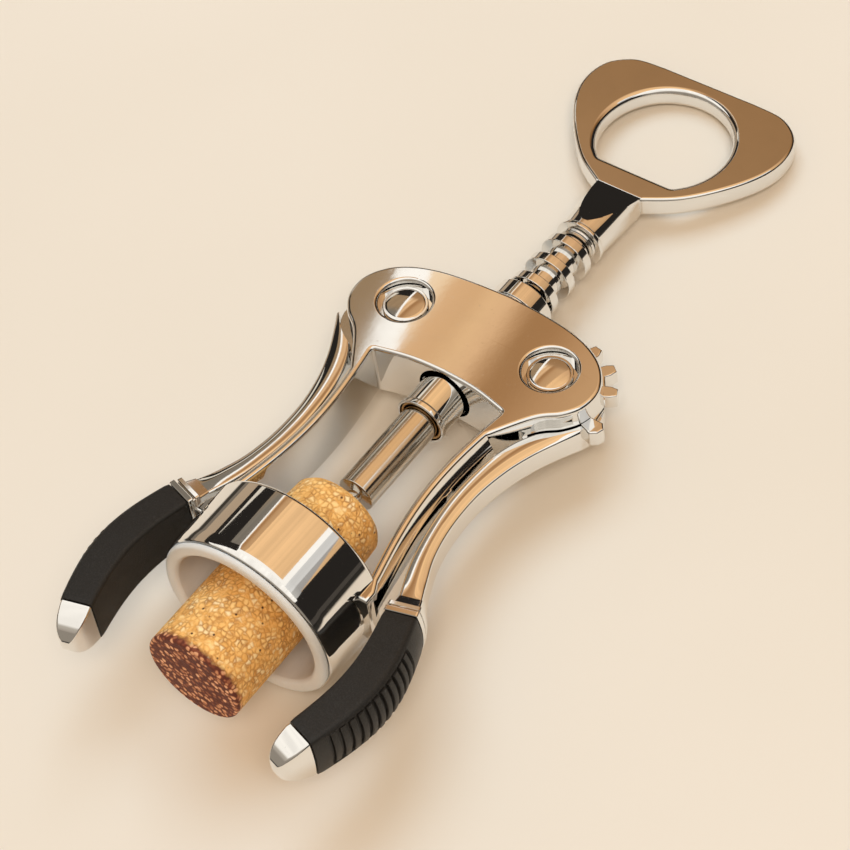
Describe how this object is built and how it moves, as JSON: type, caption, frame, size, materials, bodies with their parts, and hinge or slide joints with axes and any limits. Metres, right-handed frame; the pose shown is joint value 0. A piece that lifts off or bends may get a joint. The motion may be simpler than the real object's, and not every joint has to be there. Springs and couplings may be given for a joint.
{
  "type": "wing corkscrew",
  "caption": "Wing corkscrew lying on its back: geared levers lift a ring rack that pulls a turning worm and its cork up through a lined bell; crown doubles as a cap lifter.",
  "frame": {"origin": "middle of the underside of the whole part's box: under the spindle's axis, half way along the length, at the height of the bell's lowest line", "axes": "+Y along the spindle towards the crown, +Z out of the head's front plate, +X across the levers"},
  "size_m": [0.0668, 0.1796, 0.038],
  "materials": {
    "chrome_plate": "bright chrome plate on a die-cast body",
    "bare_steel": "plain drawn steel",
    "bronze": "dull bronze",
    "pale_liner": "pale satin plastic",
    "black_grip": "matte black with a fine texture",
    "cork": "pressed cork granules"
  },
  "bodies": {
    "frame": {"frame": "chrome_plate", "bell_liner": "pale_liner", "top_guide_bush": "chrome_plate", "pivot_pin_left": "chrome_plate", "pivot_pin_right": "chrome_plate", "pin_cap_left": "chrome_plate", "pin_cap_right": "chrome_plate"},
    "lever_right": {"lever_right": "chrome_plate", "grip_right": "black_grip", "lever_tip_right": "chrome_plate"},
    "lever_left": {"lever_left": "chrome_plate", "grip_left": "black_grip", "lever_tip_left": "chrome_plate"},
    "rack": {"rack_sleeve": "chrome_plate", "sleeve_bush": "bronze"},
    "spindle": {"crown": "chrome_plate", "thrust_washer": "bare_steel", "shank": "bare_steel", "worm": "bare_steel"},
    "cork": {"cork": "cork"}
  },
  "joints": [
    {"name": "lever_right_hinge", "type": "hinge", "parent": "frame", "child": "lever_right", "pos_m": [0.017, 0.00555, 0.019], "axis": [0, 0, 1], "range_deg": [0, 86]},
    {"name": "lever_left_hinge", "type": "hinge", "parent": "frame", "child": "lever_left", "pos_m": [-0.017, 0.00555, 0.019], "axis": [0, 0, -1], "range_deg": [0, 86]},
    {"name": "rack_slide", "type": "slide", "parent": "frame", "child": "rack", "axis": [0, -1, 0], "range_m": [0, 0.0182]},
    {"name": "crown_spin", "type": "hinge", "parent": "rack", "child": "spindle", "pos_m": [0, 0.03215, 0.019], "axis": [0, 1, 0], "continuous": true},
    {"name": "cork_slide", "type": "slide", "parent": "spindle", "child": "cork", "axis": [0, -1, 0], "range_m": [0, 0.05]}
  ],
  "couplings": [
    {"joint": "lever_left_hinge", "follows": "lever_right_hinge", "ratio": 1},
    {"joint": "rack_slide", "follows": "lever_right_hinge", "m_per_rad": 0.0121}
  ]
}
